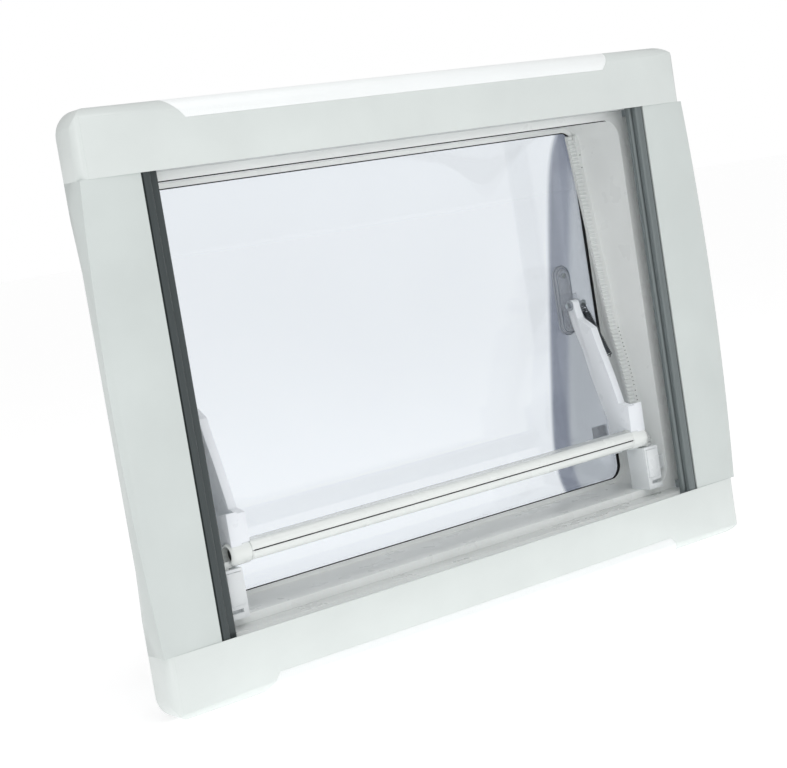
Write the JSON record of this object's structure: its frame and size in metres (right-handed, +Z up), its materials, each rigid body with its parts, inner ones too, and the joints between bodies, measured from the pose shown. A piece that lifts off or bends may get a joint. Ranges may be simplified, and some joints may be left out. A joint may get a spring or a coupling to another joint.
{
  "type": "hinged roof window with operating bar",
  "caption": "Hinged double-skin acrylic rooflight with a folding operating bar, side racks, lit four-piece trim, blackout blind and insect screen",
  "frame": {"origin": "centre of the cut-out, on the outer flange's sealing face", "axes": "+X across the window, +Z up the frame towards the hinge, +Y outwards through the wall or roof"},
  "size_m": [0.826, 0.1828, 0.6],
  "materials": {
    "trim_white": "satin",
    "light_diffuser": "frosted",
    "light_strip": "matte",
    "black_moulding": "satin",
    "zinc_steel": "satin",
    "reveal_white": "satin",
    "outer_frame_grey": "matte",
    "black_rubber": "matte",
    "rack_grey": "satin",
    "dark_rail": "satin",
    "anchor_aluminium": "satin",
    "blackout_cloth": "matte",
    "screen_mesh": "matte",
    "lock_white": "satin",
    "spring_steel": "satin",
    "clear_acrylic": "polished",
    "clear_mount": "polished",
    "arm_white": "satin",
    "bar_white": "satin"
  },
  "bodies": {
    "frame": {"trim_top_bar": "trim_white", "trim_bottom_bar": "trim_white", "trim_left_bar": "trim_white", "trim_right_bar": "trim_white", "top_light_diffuser": "light_diffuser", "bottom_light_diffuser": "light_diffuser", "top_light_strip": "light_strip", "bottom_light_strip": "light_strip", "power_inlet": "black_moulding", "corner_brackets": "zinc_steel", "reveal_frame": "reveal_white", "outer_frame": "outer_frame_grey", "dome_seal": "black_rubber", "frame_clamps": "zinc_steel", "clamp_screws": "zinc_steel", "hinge_brackets": "zinc_steel", "left_rack": "rack_grey", "right_rack": "rack_grey", "top_blind_guide": "reveal_white", "bottom_blind_guide": "reveal_white", "left_landing_profile": "dark_rail", "right_landing_profile": "dark_rail", "blackout_anchor": "anchor_aluminium", "screen_anchor": "anchor_aluminium", "blackout_fabric": "blackout_cloth", "screen_fabric": "screen_mesh", "left_lock_housing": "lock_white", "right_lock_housing": "lock_white", "left_button_spring": "spring_steel", "right_button_spring": "spring_steel", "housing_screws": "zinc_steel"},
    "blackout": {"blackout_rail": "dark_rail"},
    "screen": {"screen_rail": "dark_rail"},
    "left_button": {"left_lock_button": "lock_white"},
    "right_button": {"right_lock_button": "lock_white"},
    "dome": {"outer_pane": "clear_acrylic", "inner_pane": "clear_acrylic", "hinge_leaves": "zinc_steel", "hinge_pins": "zinc_steel", "left_dome_mount": "clear_mount", "right_dome_mount": "clear_mount", "mount_screws": "zinc_steel", "dome_keepers": "clear_mount"},
    "bow": {"left_arm": "arm_white", "right_arm": "arm_white", "pivot_pins": "zinc_steel", "left_arm_spring": "spring_steel", "right_arm_spring": "spring_steel", "bar_upper": "bar_white", "bar_lower": "bar_white", "left_hub": "bar_white", "right_hub": "bar_white", "pinion_axles": "zinc_steel"},
    "left_pinion_body": {"left_pinion": "rack_grey"},
    "right_pinion_body": {"right_pinion": "rack_grey"}
  },
  "joints": [
    {"name": "dome_hinge", "type": "hinge", "parent": "frame", "child": "dome", "pos_m": [0, 0.043, 0.246], "axis": [1, 0, 0], "range_deg": [0, 35]},
    {"name": "bow_pivot", "type": "hinge", "parent": "dome", "child": "bow", "pos_m": [0, 0.028, 0.0085], "axis": [-1, 0, 0], "range_deg": [0, 90]},
    {"name": "left_pinion_spin", "type": "hinge", "parent": "bow", "child": "left_pinion_body", "pos_m": [-0.322, -0.0116, -0.17], "axis": [-1, 0, 0], "range_deg": [0, 842]},
    {"name": "right_pinion_spin", "type": "hinge", "parent": "bow", "child": "right_pinion_body", "pos_m": [0.322, -0.0116, -0.17], "axis": [-1, 0, 0], "range_deg": [0, 842]},
    {"name": "blackout_slide", "type": "slide", "parent": "frame", "child": "blackout", "axis": [-1, 0, 0], "range_m": [0, 0.6544], "deforming": ["blackout_fabric"]},
    {"name": "screen_slide", "type": "slide", "parent": "frame", "child": "screen", "axis": [1, 0, 0], "range_m": [0, 0.6389], "deforming": ["screen_fabric"]},
    {"name": "left_button_press", "type": "slide", "parent": "frame", "child": "left_button", "axis": [0, 1, 0], "range_m": [0, 0.003], "stiffness_N_per_m": 400, "deforming": ["left_button_spring"]},
    {"name": "right_button_press", "type": "slide", "parent": "frame", "child": "right_button", "axis": [0, 1, 0], "range_m": [0, 0.003], "stiffness_N_per_m": 400, "deforming": ["right_button_spring"]}
  ],
  "couplings": [
    {"joint": "bow_pivot", "follows": "dome_hinge", "ratio": 2.55},
    {"joint": "left_pinion_spin", "follows": "dome_hinge", "ratio": 23.96},
    {"joint": "right_pinion_spin", "follows": "dome_hinge", "ratio": 23.96}
  ]
}
